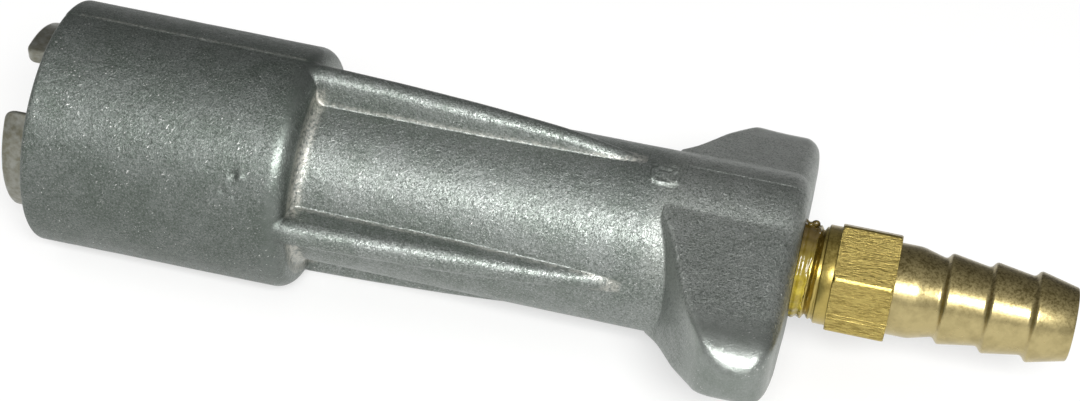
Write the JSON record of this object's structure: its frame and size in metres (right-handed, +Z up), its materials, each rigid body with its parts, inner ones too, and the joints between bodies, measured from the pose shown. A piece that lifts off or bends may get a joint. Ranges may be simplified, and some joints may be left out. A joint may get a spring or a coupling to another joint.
{
  "type": "fuel nozzle",
  "caption": "Push-and-turn dry-break fuel nozzle: skirted cast head with sprung claw ring, ribbed neck, wing handle, valve inside and a brass hose barb.",
  "frame": {"origin": "mid-length on the nozzle's axis, on the plane that the lying nozzle's head touches", "axes": "+X along the axis from the mouth to the hose end, wings along Y, +Z up"},
  "size_m": [0.2434, 0.0972, 0.0573],
  "materials": {
    "cast_aluminium": "die cast and tumbled, satin with fine bright nicks",
    "zinc_plate": "zinc plated, satin, faint yellow-green cast",
    "black_steel": "blackened spring steel",
    "spring_steel": "bright drawn wire",
    "turned_aluminium": "turned, fine lathe lines",
    "stainless": "turned stainless steel",
    "brass": "drawn and turned brass, satin",
    "rubber": "fuel-proof rubber, matt",
    "acetal": "natural acetal, turned",
    "sealant": "set pipe sealant, yellow-brown, half gloss"
  },
  "bodies": {
    "body": {"body_casting": "cast_aluminium", "claw_snap_ring": "black_steel", "claw_spring": "spring_steel", "valve_housing": "turned_aluminium", "housing_o_ring": "rubber", "nose_seal": "rubber", "flange_screw_1": "stainless", "flange_screw_2": "stainless", "flange_screw_3": "stainless", "poppet_spring": "spring_steel", "stem_guide": "acetal", "guide_snap_ring": "black_steel", "inlet_strainer": "stainless", "strainer_gasket": "rubber", "strainer_snap_ring": "black_steel", "hose_barb": "brass", "thread_sealant": "sealant"},
    "claw_ring": {"claw_ring": "zinc_plate"},
    "poppet": {"poppet": "stainless", "poppet_seal": "rubber", "seal_retainer": "stainless", "poppet_tip": "brass"}
  },
  "joints": [
    {"name": "claw_ring_slide", "type": "slide", "parent": "body", "child": "claw_ring", "axis": [1, 0, 0], "range_m": [0, 0.007], "stiffness_N_per_m": 800, "springref_m": -0.01, "deforming": ["claw_spring"]},
    {"name": "poppet_slide", "type": "slide", "parent": "body", "child": "poppet", "axis": [1, 0, 0], "range_m": [0, 0.006], "stiffness_N_per_m": 1200, "springref_m": -0.005, "deforming": ["poppet_spring"]}
  ]
}
